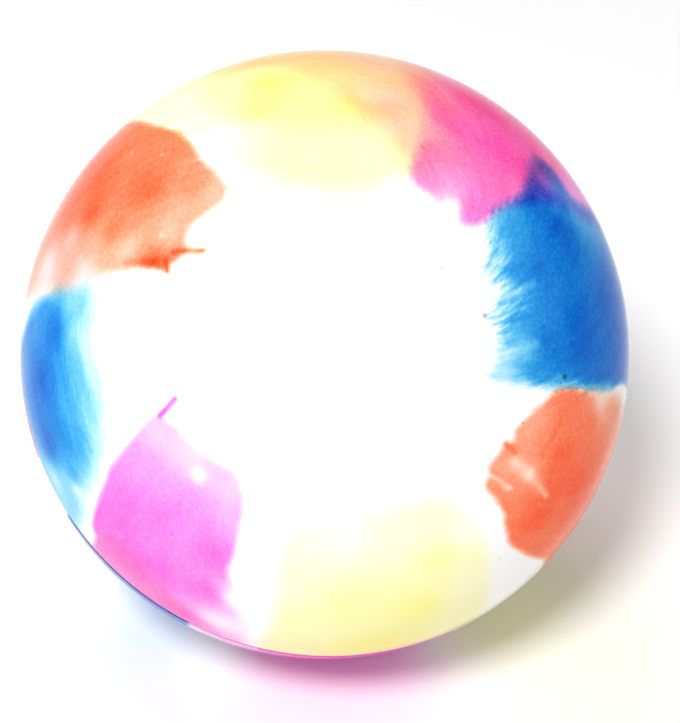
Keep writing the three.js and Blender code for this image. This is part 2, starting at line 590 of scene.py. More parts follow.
    def coarse_points(self, outline_points: np.ndarray) -> np.ndarray:
        """Lay rings of evenly spread points over the disk, clear of the outlines.

        Args:
            outline_points: Points of all outlines on the flat disk.

        Returns:
            Points on the flat disk.
        """
        rings = [np.zeros((1, 2))]
        last = SEAM_POLAR - self.rim_rings[-1] - 0.5 * self.grid_step
        for row, polar in enumerate(np.arange(self.grid_step, last, self.grid_step)):
            number = max(self.least_in_ring, round(2 * math.pi * polar / self.grid_step))
            lon = (np.arange(number) + 0.5 * (row % 2)) * 360 / number
            rings.append(flat(lon, np.full(number, polar)))
        grid = np.vstack(rings)
        clear = np.ones(len(grid), dtype=bool)
        room = self.grid_clearance * self.grid_step
        for place in outline_points:
            clear &= np.hypot(grid[:, 0] - place[0], grid[:, 1] - place[1]) > room
        return grid[clear]

    def place(self, sheet: Sheet, radius: float | np.ndarray) -> np.ndarray:
        """Put the sheet's points on the ball at a radius, in millimetres."""
        aim = self.pole.directions(sheet.lon, sheet.polar, self.side)
        return aim * np.broadcast_to(np.asarray(radius, dtype=float), len(aim))[:, None]

    def swirl(self, sheet: Sheet) -> dict[str, np.ndarray]:
        """Work out the colour data of each point of the sheet.

        Args:
            sheet: The half's sheet.

        Returns:
            For each attribute its values: per pigment the distance inside the colour's edge, the load,
            the softness and the frill; the specks; the painted shade of the seam groove; and the direction
            of flow.
        """
        here = self.on_ball(sheet.lon, sheet.polar)
        disk = flat(sheet.lon, sheet.polar)
        data = {pigment.attribute: np.tile(BARE, (len(here), 1)) for pigment in Pigment}
        flow = np.zeros((len(here), 3))
        nearest = np.full(len(here), -np.inf)
        for index, patch in enumerate(self.patches):
            values = data[patch.pigment.attribute]
            found = self.patch_values(patch, here, disk)
            better = found[:, 0] > values[:, 0]
            values[better] = found[better]
            closer = (found[:, 0] > nearest) & patch.is_inlay
            nearest[closer] = found[closer, 0]
            flow[closer] = self.drawn_out(patch, index, sheet)[closer]
        data["flow"] = flow
        speck = np.zeros(len(here))
        for mark in self.specks:
            apart = np.linalg.norm(here - self.on_ball(mark.lon, mark.polar), axis=1)
            speck = np.maximum(speck, mark.strength * np.clip(SPECK_FADE - apart / mark.size, 0, 1))
        data["speck"] = speck
        # Painted shade: the skin is darkened along the seam groove
        data["seam"] = np.exp(-(self.sizes.from_seam(sheet.polar) / self.sizes.seam_shade_width) ** 2)
        return data

    def drawn_out(self, patch: Patch, index: int, sheet: Sheet) -> np.ndarray:
        """Give flow coordinates that run across and along the streaks of a patch.

        Args:
            patch: The patch, whose twist turns the streaks away from the meridians.
            index: Its number, which sets its pattern apart from the others.
            sheet: The half's sheet.

        Returns:
            Rows of the way across, the way along and the pattern's offset.
        """
        corners = np.radians(np.array(patch.outline)[:, 0])
        centre = math.degrees(math.atan2(np.sin(corners).mean(), np.cos(corners).mean()))
        round_pole = np.radians((sheet.lon - centre + 180.0) % 360.0 - 180.0)
        from_pole = np.log(np.tan(np.radians(np.clip(sheet.polar, self.flow_start, SEAM_POLAR)) / 2))
        twist = math.radians(patch.twist)
        across = math.cos(twist) * round_pole - math.sin(twist) * from_pole
        along = math.sin(twist) * round_pole + math.cos(twist) * from_pole
        return np.column_stack([across, along, np.full(len(across), self.flow_shift * index)])

    def patch_values(self, patch: Patch, here: np.ndarray, disk: np.ndarray) -> np.ndarray:
        """Work out one patch's colour data.

        Args:
            patch: The patch.
            here: The sheet's points on the ball.
            disk: The same points on the flat disk.

        Returns:
            Rows of distance inside the edge, load, softness and frill.
        """
        curve = self.smooth_outline(patch.shade or patch.outline, self.shade_steps)
        apart, _ = line_distance(here, self.on_ball(curve[:, 0], curve[:, 1]))
        edge = np.where(inside_loop(disk, self.closed_loop(curve)), apart, -apart)
        total = np.zeros((len(here), 3))
        weight = np.zeros(len(here))
        for dab in patch.dabs:
            away = np.linalg.norm(here - self.on_ball(dab.lon, dab.polar), axis=1)
            pull = 1.0 / (away + DAB_REACH) ** DAB_FALL
            total += pull[:, None] * np.array([dab.load, dab.soft, dab.frill])
            weight += pull
        paint = total / weight[:, None]
        for stroke in patch.strokes:
            ends = np.array([stroke.start, stroke.end])
            away, along = line_distance(here, self.on_ball(ends[:, 0], ends[:, 1]))
            width = stroke.start_width + (stroke.end_width - stroke.start_width) * along
            paint[:, 0] *= 1.0 + stroke.gain * np.exp(-(away / width) ** 2)
            if stroke.gain > 0:
                edge = np.maximum(edge, width - away)
        return np.column_stack([edge, paint])

    def inlay_draft(self, sheet: Sheet, index: int) -> MeshDraft:
        """Put together one inlay: skin, underside and the wall round it.

        Args:
            sheet: The half's sheet.
            index: Which inlay.

        Returns:
            The inlay's points and faces.
        """
        triangles = sheet.triangles[sheet.owner == index]
        used, local = np.unique(triangles, return_inverse=True)
        local = local.reshape(-1, 3)
        draft = MeshDraft()
        draft.add_points(self.place(sheet, self.sizes.skin_radius(sheet.polar))[used], used)
        under = draft.add_points(self.place(sheet, self.sizes.inlay_floor)[used], used)
        draft.add_faces(local, is_skin=True)
        draft.add_faces(local[:, ::-1] + under)
        draft.add_faces([(b, a, under + a, under + b) for a, b in loose_edges(local)])
        return draft

    def cover_draft(self, sheet: Sheet) -> MeshDraft:
        """Put together the cover: skin, pockets for the inlays, lap joint and cavity.

        Args:
            sheet: The half's sheet.

        Returns:
            The cover's points and faces.
        """
        draft = MeshDraft()
        pocketed = sheet.owner >= 0
        top_used = np.unique(sheet.triangles[~pocketed])
        floor_used = np.unique(sheet.triangles[pocketed])
        top = np.full(len(sheet.lon), -1)
        top[top_used] = np.arange(len(top_used))
        draft.add_points(self.place(sheet, self.sizes.skin_radius(sheet.polar))[top_used], top_used)
        floor = np.full(len(sheet.lon), -1)
        first = draft.add_points(self.place(sheet, self.sizes.pocket_floor)[floor_used], floor_used)
        floor[floor_used] = first + np.arange(len(floor_used))
        draft.add_faces(top[sheet.triangles[~pocketed]], is_skin=True)
        draft.add_faces(floor[sheet.triangles[pocketed]])
        walls = loose_edges(sheet.triangles[pocketed])
        both = (top[walls] >= 0).all(axis=1) & ~np.isin(walls, sheet.rim).all(axis=1)
        draft.add_faces([(top[a], top[b], floor[b], floor[a]) for a, b in walls[both]])
        self.add_lap_and_cavity(draft, sheet, top, floor)
        return draft

    def lap_profile(self) -> list[tuple[float, float]]:
        """Give the section of the lap joint and the cavity.

        Returns:
            Pairs of distance from the pole axis and height above the seam, from the seam inwards.
        """
        sizes = self.sizes
        cavity = sizes.cavity_radius
        if self.side is Side.FRONT:
            tip = -(sizes.lap_length - sizes.bond_gap)
            section = [(sizes.spigot_radius, 0.0), (sizes.spigot_radius, tip), (cavity, tip), (cavity, 0.0)]
            start = SEAM_POLAR
        else:
            ledge = sizes.lap_length
            inner = math.sqrt(cavity ** 2 - ledge ** 2)
            section = [(sizes.rebate_radius, 0.0), (sizes.rebate_radius, ledge), (inner, ledge)]
            start = math.degrees(math.acos(ledge / cavity))
        for step in range(1, sizes.cavity_steps):
            angle = math.radians(start * (1 - step / sizes.cavity_steps))
            section.append((cavity * math.sin(angle), cavity * math.cos(angle)))
        return section

    def add_lap_and_cavity(
        self, draft: MeshDraft, sheet: Sheet, top: np.ndarray, floor: np.ndarray
    ) -> None:
        """Close the cover from its seam inwards.

        Args:
            draft: The cover's draft, which gets the faces.
            sheet: The half's sheet.
            top: For each sheet point its index on the cover's skin, or -1.
            floor: For each sheet point its index on a pocket's floor, or -1.
        """
        right, up, pole = self.pole.axes()
        rim = sheet.rim
        number = len(rim)
        lon = np.radians(sheet.lon[rim])[:, None]
        spokes = np.cos(lon) * right + np.sin(lon) * up
        rings = []
        for out, height in self.lap_profile():
            ring = out * spokes + self.side.value * height * pole
            rings.append(draft.add_points(ring, np.full(number, -1)))
        for i, j in ring_steps(number):
            a, b = rim[i], rim[j]
            in_pocket = floor[a] >= 0 and floor[b] >= 0 and (top[a] < 0 or top[b] < 0)
            level = floor if in_pocket else top
            face = [level[b], level[a]]
            if not in_pocket and floor[a] >= 0:
                face.append(floor[a])
            face += [rings[0] + i, rings[0] + j]
            if not in_pocket and floor[b] >= 0:
                face.append(floor[b])
            draft.add_faces([face])
        for outer, inner in zip(rings[:-1], rings[1:]):
            draft.add_faces([(outer + j, outer + i, inner + i, inner + j) for i, j in ring_steps(number)])
        crown = self.side.value * self.sizes.cavity_radius * pole
        centre = draft.add_points(crown[None, :], np.array([-1]))
        last = rings[-1]
        draft.add_faces([(last + j, last + i, centre) for i, j in ring_steps(number)])

    def make_object(
        self, name: str, draft: MeshDraft, sheet: Sheet, data: dict[str, np.ndarray]
    ) -> bpy.types.Object:
        """Turn a draft into a Blender object with its colour data and clean skin normals.

        Args:
            name: The piece's name.
            draft: Its points and faces.
            sheet: The half's sheet.
            data: The sheet's colour data.

        Returns:
            The new object, in the scene.
        """
        points = np.vstack(draft.points)
        sources = np.concatenate(draft.sources)
        faces = draft.faces
        if self.side is Side.REAR:
            faces = [face[::-1] for face in faces]
        mesh = bpy.data.meshes.new(name)
        mesh.from_pydata((points * MM).tolist(), [], faces)
        mesh.update()
        coloured = sources >= 0
        picked = np.where(coloured, sources, 0)
        for key, values in data.items():
            store_attribute(mesh, key, bare_where(values[picked], ~coloured))
        mesh.shade_smooth()
        mesh.set_sharp_from_angle(angle=math.radians(self.crease))
        self.set_skin_normals(mesh, draft, sheet, picked)
        return add_object(name, mesh)

    def set_skin_normals(
        self, mesh: bpy.types.Mesh, draft: MeshDraft, sheet: Sheet, picked: np.ndarray
    ) -> None:
        """Give the outer skin the true normals of the round, so that its gloss runs over the borders.

        Args:
            mesh: The piece's mesh.
            draft: Its draft, which says which faces are skin.
            sheet: The half's sheet.
            picked: The sheet's point for each point of the mesh.
        """
        aim = self.pole.directions(sheet.lon, sheet.polar, self.side)
        along = self.pole.directions(sheet.lon, sheet.polar + 90.0, self.side)
        lean = self.sizes.skin_lean(sheet.polar)
        normals = aim - along * lean[:, None]
        normals /= np.linalg.norm(normals, axis=1)[:, None]
        corner = np.zeros(len(mesh.loops), dtype=np.int32)
        mesh.loops.foreach_get("vertex_index", corner)
        totals = np.zeros(len(mesh.polygons), dtype=np.int32)
        mesh.polygons.foreach_get("loop_total", totals)
        on_skin = np.repeat(np.array(draft.skin_faces), totals)
        split = np.where(on_skin[:, None], normals[picked[corner]], 0.0)
        mesh.normals_split_custom_set(split.tolist())

    def build(self) -> None:
        """Make the meshes of the half's cover and inlays."""
        sheet = self.triangulate()
        data = self.swirl(sheet)
        cover = self.make_object(self.cover_name + "_shell", self.cover_draft(sheet), sheet, data)
        self.pieces[self.cover_name] = cover
        for index, patch in enumerate(self.inlays):
            draft = self.inlay_draft(sheet, index)
            self.pieces[patch.name] = self.make_object(patch.name + "_swirl", draft, sheet, data)

    def dress(self, finishes: dict[str, bpy.types.Material]) -> None:
        """Give each piece its finish, its body, its slot and the node it stands for.

        Args:
            finishes: Material of each slot.
        """
        slots = {patch.name: patch.pigment.value for patch in self.inlays}
        slots[self.cover_name] = WHITE_SLOT
        for node, piece in self.pieces.items():
            piece.data.materials.append(finishes[slots[node]])
            settle(piece, node, slots[node])


def add_object(name: str, data: bpy.types.ID) -> bpy.types.Object:
    """Make an object of a mesh, light or camera and put it in the scene.

    Args:
        name: The object's name.
        data: What it shows.

    Returns:
        The new object.
    """
    made = bpy.data.objects.new(name, data)
    bpy.context.scene.collection.objects.link(made)
    return made


def bare_where(values: np.ndarray, bare: np.ndarray) -> np.ndarray:
    """Blank the colour data of points that carry none.

    Args:
        values: One value or row per point.
        bare: Which points carry none.

    Returns:
        The same values, blanked there.
    """
    if values.ndim == 2 and values.shape[1] == 4:
        values[bare] = BARE
    elif values.ndim == 1:
        values[bare] = 0.0
    return values


def store_attribute(mesh: bpy.types.Mesh, name: str, values: np.ndarray) -> None:
    """Store values on a mesh's points, as a number, a vector or a colour by their width.

    Args:
        mesh: The mesh.
        name: The attribute's name.
        values: One value or row per point.
    """
    kinds = {1: ("FLOAT", "value"), 3: ("FLOAT_VECTOR", "vector"), 4: ("FLOAT_COLOR", "color")}
    width = 1 if values.ndim == 1 else values.shape[1]
    kind, key = kinds[width]
    attribute = mesh.attributes.new(name, kind, "POINT")
    attribute.data.foreach_set(key, values.astype(np.float32).ravel())


def settle(piece: bpy.types.Object, node: str, slot: str) -> None:
    """Make a piece ride on the ball and stand for its node, and report it with its slot.

    Args:
        piece: The piece.
        node: The node that it stands for.
        slot: Its material slot.
    """
    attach(piece, BODY)
    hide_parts(node)
    LOG.info("%s: %d points, slot %s", piece.name, len(piece.data.vertices), slot)


@dataclass
class Core:
    """The light core: a ball of bonded cork and rubber granules.

    Radius and dent are in millimetres, and the width of the joints between granules is in radians.
    """

    radius: float
    granules: int = 1400
    dent: float = 0.22
    joint_width: float = 0.012
    rings: int = 96
    seed: int = 7
    piece: bpy.types.Object | None = None

    def build(self) -> None:
        """Make the core's mesh, with each granule standing a little proud of the joints between them."""
        polar = np.linspace(0, math.pi, self.rings + 1)[1:-1]
        lon = np.linspace(0, 2 * math.pi, 2 * self.rings, endpoint=False)
        down, turn = (angles.ravel() for angles in np.meshgrid(polar, lon, indexing="ij"))
        aim = np.column_stack([np.sin(down) * np.cos(turn), np.sin(down) * np.sin(turn), np.cos(down)])
        aim = np.vstack([aim, [[0, 0, 1], [0, 0, -1]]])
        seeds = np.random.default_rng(self.seed).normal(size=(self.granules, 3))
        seeds /= np.linalg.norm(seeds, axis=1)[:, None]
        near = np.sort(-(aim @ seeds.T), axis=1)[:, :2]
        gap = np.arccos(np.clip(-near[:, 1], -1, 1)) - np.arccos(np.clip(-near[:, 0], -1, 1))
        joint = np.exp(-gap / self.joint_width)
        points = aim * (self.radius - self.dent * joint)[:, None]
        number = len(lon)
        steps = ring_steps(number)
        north = len(polar) * number
        base = north - number
        faces = [
            (row + i, row + number + i, row + number + j, row + j)
            for row in range(0, base, number)
            for i, j in steps
        ]
        faces += [(north, i, j) for i, j in steps]
        faces += [(north + 1, base + j, base + i) for i, j in steps]
        mesh = bpy.data.meshes.new("granulate_core")
        mesh.from_pydata((points * MM).tolist(), [], faces)
        mesh.shade_smooth()
        self.piece = add_object("granulate_core", mesh)

    def dress(self, finishes: dict[str, bpy.types.Material]) -> None:
        """Give the core its finish and settle it."""
        self.piece.data.materials.append(finishes[CORE_SLOT])
        settle(self.piece, "core", CORE_SLOT)


def opaque(colour: Triple) -> tuple[float, float, float, float]:
    """Give a colour full alpha."""
    return (*colour, 1.0)


@dataclass(frozen=True)
class Noise:
    """Settings of one noise texture."""

    scale: float
    detail: float
    roughness: float


class NodeSketch:
    """A node tree being wired, with short calls for the nodes that this ball needs."""

    def __init__(self, tree: bpy.types.NodeTree) -> None:
        """Work on one tree."""
        self.tree = tree

    def add(self, kind: str, **settings: object) -> bpy.types.Node:
        """Add a node.

        Args:
            kind: Its Blender type.
            settings: Its own properties.

        Returns:
            The node.
        """
        node = self.tree.nodes.new(kind)
        for key, value in settings.items():
            setattr(node, key, value)
        return node

    def feed(self, socket: bpy.types.NodeSocket, value: object) -> None:
        """Link a socket to another one, or set it to a plain value.

        Args:
            socket: The input to feed.
            value: An output socket or a value.
        """
        if isinstance(value, bpy.types.NodeSocket):
            self.tree.links.new(value, socket)
        else:
            socket.default_value = value

    def fill(self, node: bpy.types.Node, **values: object) -> None:
        """Feed a node's inputs by name, with _ for the spaces in their names."""
        for key, value in values.items():
            self.feed(node.inputs[key.replace("_", " ")], value)

    def math(self, operation: str, *values: object) -> bpy.types.NodeSocket:
        """Add a Math node.

        Args:
            operation: What it does.
            values: Up to three sockets or numbers.

        Returns:
            Its output.
        """
        node = self.add("ShaderNodeMath", operation=operation)
        for socket, value in zip(node.inputs, values):
            self.feed(socket, value)
        return node.outputs[0]

    def blend(self, blend_type: str, share: object, under: object, over: object) -> bpy.types.NodeSocket:
        """Add a colour Mix node.

        Args:
            blend_type: How the colours are mixed.
            share: How much of the second one counts.
            under: The first colour.
            over: The second colour.

        Returns:
            Its output.
        """
        node = self.add("ShaderNodeMix", data_type="RGBA", blend_type=blend_type)
        self.feed(node.inputs["Factor"], share)
        self.feed(node.inputs[MIX_UNDER], under)
        self.feed(node.inputs[MIX_OVER], over)
        return node.outputs[MIX_RESULT]

    def noise(self, vector: object, noise: Noise) -> bpy.types.NodeSocket:
        """Add a noise texture.

        Args:
            vector: Where it is looked up.
            noise: Its settings.

        Returns:
            Its value.
        """
        node = self.add("ShaderNodeTexNoise")
        self.fill(node, Vector=vector, Scale=noise.scale, Detail=noise.detail, Roughness=noise.roughness)
        return node.outputs["Fac"]

    def remap(self, value: object, low: object, high: object) -> bpy.types.NodeSocket:
        """Add a smooth Map Range node to the range of 0 to 1.

        Args:
            value: What is mapped.
            low: Where the result is 0.
            high: Where it is 1.

        Returns:
            Its output.
        """
        node = self.add("ShaderNodeMapRange", interpolation_type="SMOOTHSTEP")
        self.fill(node, Value=value, From_Min=low, From_Max=high)
        return node.outputs["Result"]

    def split(self, colour: object) -> list[bpy.types.NodeSocket]:
        """Take a colour apart.

        Args:
            colour: The colour.

        Returns:
            Its three channels.
        """
        node = self.add("ShaderNodeSeparateColor")
        self.feed(node.inputs[0], colour)
        return list(node.outputs)

    def place(self) -> bpy.types.NodeSocket:
        """Give the place on the ball, in metres."""
        return self.add("ShaderNodeTexCoord").outputs["Object"]

    def bump(self, strength: float, depth: float, height: object) -> bpy.types.NodeSocket:
        """Add a Bump node.

        Args:
            strength: How much of it counts.
            depth: Its depth in millimetres.
            height: What raises it.

        Returns:
            The bent normal.
        """
        node = self.add("ShaderNodeBump")
        self.fill(node, Strength=strength, Distance=depth * MM, Height=height)
        return node.outputs["Normal"]

    def attribute(self, name: str) -> bpy.types.Node:
        """Add a node that reads one of the mesh's attributes."""
        return self.add("ShaderNodeAttribute", attribute_name=name)

    def group(self, tree: bpy.types.NodeTree, **values: object) -> bpy.types.Node:
        """Place a node group.

        Args:
            tree: The group's tree.
            values: What feeds its inputs, with _ for the spaces in their names.

        Returns:
            The group's node.
        """
        node = self.add("ShaderNodeGroup", node_tree=tree)
        self.fill(node, **values)
        return node


# Socket types of the groups' inputs and outputs
SOCKETS = {"value": "NodeSocketFloat", "colour": "NodeSocketColor"}


def new_group(name: str, inputs: dict[str, str], outputs: dict[str, str]) -> tuple[NodeSketch, dict]:
    """Start a shader node group with named sockets.

    Args:
        name: The group's name.
        inputs: Kind of each input by name.
        outputs: Kind of each output by name.

    Returns:
        A sketch on the group's tree, and its inputs inside the group by name, with "out" for the
        output node.
    """
    tree = bpy.data.node_groups.new(name, "ShaderNodeTree")
    for way, labels in (("INPUT", inputs), ("OUTPUT", outputs)):
        for label, kind in labels.items():
            tree.interface.new_socket(name=label, in_out=way, socket_type=SOCKETS[kind])
    sketch = NodeSketch(tree)
    entry = sketch.add("NodeGroupInput")
    sockets = {label: entry.outputs[label] for label in inputs}
    sockets["out"] = sketch.add("NodeGroupOutput")
    return sketch, sockets


@dataclass(frozen=True)
class Grain:
    """Streaks, clouds and fine grain of the moulded colour, and how much each of them counts."""

    squeeze: Triple = (1.0, 0.2, 1.0)
    streak: Noise = Noise(22.0, 4.0, 0.6)
    cloud: Noise = Noise(210.0, 3.0, 0.55)
    fine: Noise = Noise(2400.0, 2.0, 0.6)
    noise_mean: float = 0.5
    streak_gain: float = 3.6
    streak_mottle: float = 0.3
    cloud_mottle: float = 0.9

    def build(self) -> bpy.types.NodeTree:
        """Build the group that makes the drawn-out streaks and the mottling.

        Returns:
            The group's tree, with Wander around zero and Mottle around one.
        """
        sketch, ends = new_group("Moulding Grain", {}, {"Wander": "value", "Mottle": "value"})
        squeezed = sketch.add("ShaderNodeVectorMath", operation="MULTIPLY")
        sketch.feed(squeezed.inputs[0], sketch.attribute("flow").outputs["Vector"])
        sketch.feed(squeezed.inputs[1], self.squeeze)
        place = sketch.place()
        streak = sketch.noise(squeezed.outputs[0], self.streak)
        streak = sketch.math("MULTIPLY_ADD", streak, self.streak_gain, -self.noise_mean * self.streak_gain)
        cloud = sketch.math("SUBTRACT", sketch.noise(place, self.cloud), self.noise_mean)
        fine = sketch.math("MULTIPLY", sketch.noise(place, self.fine), 1.0 / self.noise_mean)
        mottle = sketch.math("MULTIPLY_ADD", cloud, self.cloud_mottle, fine)
        mottle = sketch.math("MULTIPLY_ADD", streak, self.streak_mottle, mottle)
        sketch.fill(ends["out"], Wander=sketch.math("ADD", streak, cloud), Mottle=mottle)
        return sketch.tree


def build_dye_group() -> bpy.types.NodeTree:
    """Build the group that lays one see-through dye over a colour, as far as its swirl reaches.

    Returns:
        The group's tree. Its Pass input is the colour that the dye lets through at a load of one.
    """
    inputs = {"Colour": "colour", "Swirl": "colour", "Pass": "colour"}
    inputs |= {"Frill": "value", "Wander": "value", "Mottle": "value"}
    sketch, ends = new_group("Dye Layer", inputs, {"Colour": "colour"})
    edge, load, soft = sketch.split(ends["Swirl"])
    moved = sketch.math("MULTIPLY_ADD", ends["Wander"], ends["Frill"], edge)
    half = sketch.math("MULTIPLY", soft, 0.5)
    cover = sketch.remap(moved, sketch.math("MULTIPLY", half, -1.0), half)
    amount = sketch.math("MULTIPLY", sketch.math("MULTIPLY", cover, load), ends["Mottle"])
    through = sketch.add("ShaderNodeCombineColor")
    for socket, passed in zip(through.inputs, sketch.split(ends["Pass"])):
        sketch.feed(socket, sketch.math("POWER", passed, amount))
    dyed = sketch.blend("MULTIPLY", 1.0, ends["Colour"], through.outputs[0])
    sketch.feed(ends["out"].inputs["Colour"], dyed)
    return sketch.tree


@dataclass(frozen=True)
class Dyes:
    """What each pigment lets through at a load of one, the white they lie on, specks and painted seam
    shade.
    """

    white: Triple = (0.92, 0.915, 0.905)
    yellow: Triple = (0.99, 0.94, 0.30)
    orange: Triple = (1.0, 0.165, 0.07)
    pink: Triple = (0.98, 0.20, 0.72)
    blue: Triple = (0.0025, 0.15, 0.63)
    speck: Triple = (0.16, 0.13, 0.12)
    # Colour and strength of the painted shade along the seam groove
    seam: Triple = (0.10, 0.09, 0.11)
    seam_shade_strength: float = 0.75

    def passed(self, pigment: Pigment) -> tuple[float, float, float, float]:
        """Give the colour that a pigment lets through, with alpha."""
        return opaque(getattr(self, pigment.name.lower()))

    def build(self) -> bpy.types.NodeTree:
        """Build the group that colours the whole marbled skin from the mesh's swirl data.

        Returns:
            The group's tree, with the skin's colour.
        """
        sketch, ends = new_group("Marbled Skin", {"Mottle Gain": "value"}, {"Colour": "colour"})
        grain = sketch.group(Grain().build())
        spread = sketch.math("SUBTRACT", grain.outputs["Mottle"], 1.0)
        mottle = sketch.math("MULTIPLY_ADD", spread, ends["Mottle Gain"], 1.0)
        dye_group = build_dye_group()
        colour: object = opaque(self.white)
        for pigment in Pigment:
            swirl = sketch.attribute(pigment.attribute)
            layer = sketch.group(
                dye_group,
                Colour=colour,
                Swirl=swirl.outputs["Color"],
                Frill=swirl.outputs["Alpha"],
                Wander=grain.outputs["Wander"],
                Mottle=mottle,
                Pass=self.passed(pigment),
            )
            colour = layer.outputs["Colour"]
        speck = sketch.attribute("speck").outputs["Fac"]
        colour = sketch.blend("MULTIPLY", speck, colour, opaque(self.speck))
        # Painted shade along the seam groove darkens the colour there
        seam = sketch.math("MULTIPLY", sketch.attribute("seam").outputs["Fac"], self.seam_shade_strength)
        sketch.fill(ends["out"], Colour=sketch.blend("MULTIPLY", seam, colour, opaque(self.seam)))
        return sketch.tree


@dataclass(frozen=True)
class Gloss:
    """Faint moulding haze and the fine unevenness of the skin."""

    haze: Noise = Noise(90.0, 5.0, 0.65)
    haze_range: tuple[float, float] = (0.35, 0.75)
    ripple: Noise = Noise(260.0, 2.0, 0.5)

    def build(self) -> bpy.types.NodeTree:
        """Build the group that varies the gloss.

        Returns:
            The group's tree, with Roughness, and a Height between 0 and 1.
        """
        inputs = {"Base": "value", "Haze": "value"}
        sketch, ends = new_group("Moulded Gloss", inputs, {"Roughness": "value", "Height": "value"})
        place = sketch.place()
        haze = sketch.remap(sketch.noise(place, self.haze), *self.haze_range)
        roughness = sketch.math("MULTIPLY_ADD", haze, ends["Haze"], ends["Base"])
        sketch.fill(ends["out"], Roughness=roughness, Height=sketch.noise(place, self.ripple))
        return sketch.tree


def new_material(name: str) -> tuple[bpy.types.Material, NodeSketch, bpy.types.Node]:
    """Start a material.

    Args:
        name: Its name.

    Returns:
        The material, a sketch on its tree, and its shader.
    """
    made = bpy.data.materials.new(name)
    made.use_nodes = True
    return made, NodeSketch(made.node_tree), made.node_tree.nodes["Principled BSDF"]


@dataclass(frozen=True)
class PvcFinish:
    """Glossy moulded PVC of one slot, with the depth of its ripple in millimetres."""

    slot: str
    roughness: float = 0.1
    haze: float = 0.06
    mottle_gain: float = 0.35
    ior: float = 1.5
    specular: float = 0.03
    ripple: float = 0.02
    ripple_depth: float = 0.1

    def material(self, swirl: bpy.types.NodeTree, gloss: bpy.types.NodeTree) -> bpy.types.Material:
        """Make the slot's material.

        Args:
            swirl: The group that colours the skin.
            gloss: The group that varies its gloss.

        Returns:
            The material.
        """
        made, sketch, shader = new_material(self.slot)
        skin = sketch.group(swirl, Mottle_Gain=self.mottle_gain)
        shine = sketch.group(gloss, Base=self.roughness, Haze=self.haze)
        sketch.fill(
            shader,
            Base_Color=skin.outputs["Colour"],
            Roughness=shine.outputs["Roughness"],
            IOR=self.ior,
            Specular_IOR_Level=self.specular,
            Normal=sketch.bump(self.ripple, self.ripple_depth, shine.outputs["Height"]),
        )
        return made


@dataclass(frozen=True)
class CorkFinish:
    """Bonded cork and rubber granules, with the depth of their pores in millimetres."""

    slot: str = CORE_SLOT
    cork: Triple = (0.36, 0.19, 0.085)
    dark_cork: Triple = (0.17, 0.08, 0.035)
    rubber: Triple = (0.03, 0.028, 0.026)
    rubber_from: float = 0.8
    granule_scale: float = 330.0
    pores: Noise = Noise(1500.0, 3.0, 0.6)
    pore_range: tuple[float, float] = (0.35, 0.6)
    pore_tint: Triple = (0.4, 0.3, 0.25)
    pore_shade: float = 0.5
    pore_depth: float = 0.2
    pore_bump: float = 0.5
    pore_roughness: float = 0.65
    face_roughness: float = 0.85

    def material(self) -> bpy.types.Material:
        """Make the core's material.

        Returns:
            The material.
        """
        made, sketch, shader = new_material(self.slot)
        place = sketch.place()
        cells = sketch.add("ShaderNodeTexVoronoi")
        sketch.fill(cells, Vector=place, Scale=self.granule_scale)
        shade, kind, _ = sketch.split(cells.outputs["Color"])
        cork = sketch.blend("MIX", shade, opaque(self.cork), opaque(self.dark_cork))
        is_rubber = sketch.math("GREATER_THAN", kind, self.rubber_from)
        colour = sketch.blend("MIX", is_rubber, cork, opaque(self.rubber))
        faces = sketch.remap(sketch.noise(place, self.pores), *self.pore_range)
        depth = sketch.math("MULTIPLY_ADD", faces, -self.pore_shade, self.pore_shade)
        rise = self.face_roughness - self.pore_roughness
        sketch.fill(
            shader,
            Base_Color=sketch.blend("MULTIPLY", depth, colour, opaque(self.pore_tint)),
            Roughness=sketch.math("MULTIPLY_ADD", faces, rise, self.pore_roughness),
            Normal=sketch.bump(self.pore_bump, self.pore_depth, faces),
        )
        return made


@dataclass(frozen=True)
class PhotoFrame:
    """Where the ball stands in the photograph, in pixels, and how it is looked at.

    The elevation is in degrees and the sensor in millimetres.
    """

    width: int = 680
    height: int = 723
    centre_x: float = 324.7
    centre_y: float = 354.6
    ball_pixels: float = 304.5
    elevation: float = 35.0
    distance_in_radii: float = 8.0
    sensor: float = 36.0


@dataclass(frozen=True)
class Softbox:
    """A round soft light: the direction it stands in, its size and distance in metres, and its watts."""

    name: str
    aim: Triple
    watts: float
    size: float = 0.5
    distance: float = 0.8

    def build(self) -> None:
        """Add the light, turned towards the ball."""
        data = bpy.data.lights.new(self.name, "AREA")
        data.shape = "DISK"
        data.size = self.size
        data.energy = self.watts
        lamp = add_object(self.name, data)
        aim = Vector(self.aim).normalized()
        lamp.location = aim * self.distance
        lamp.rotation_euler = aim.to_track_quat("Z", "Y").to_euler()
        LOG.info("%s: %.1f W", self.name, self.watts)


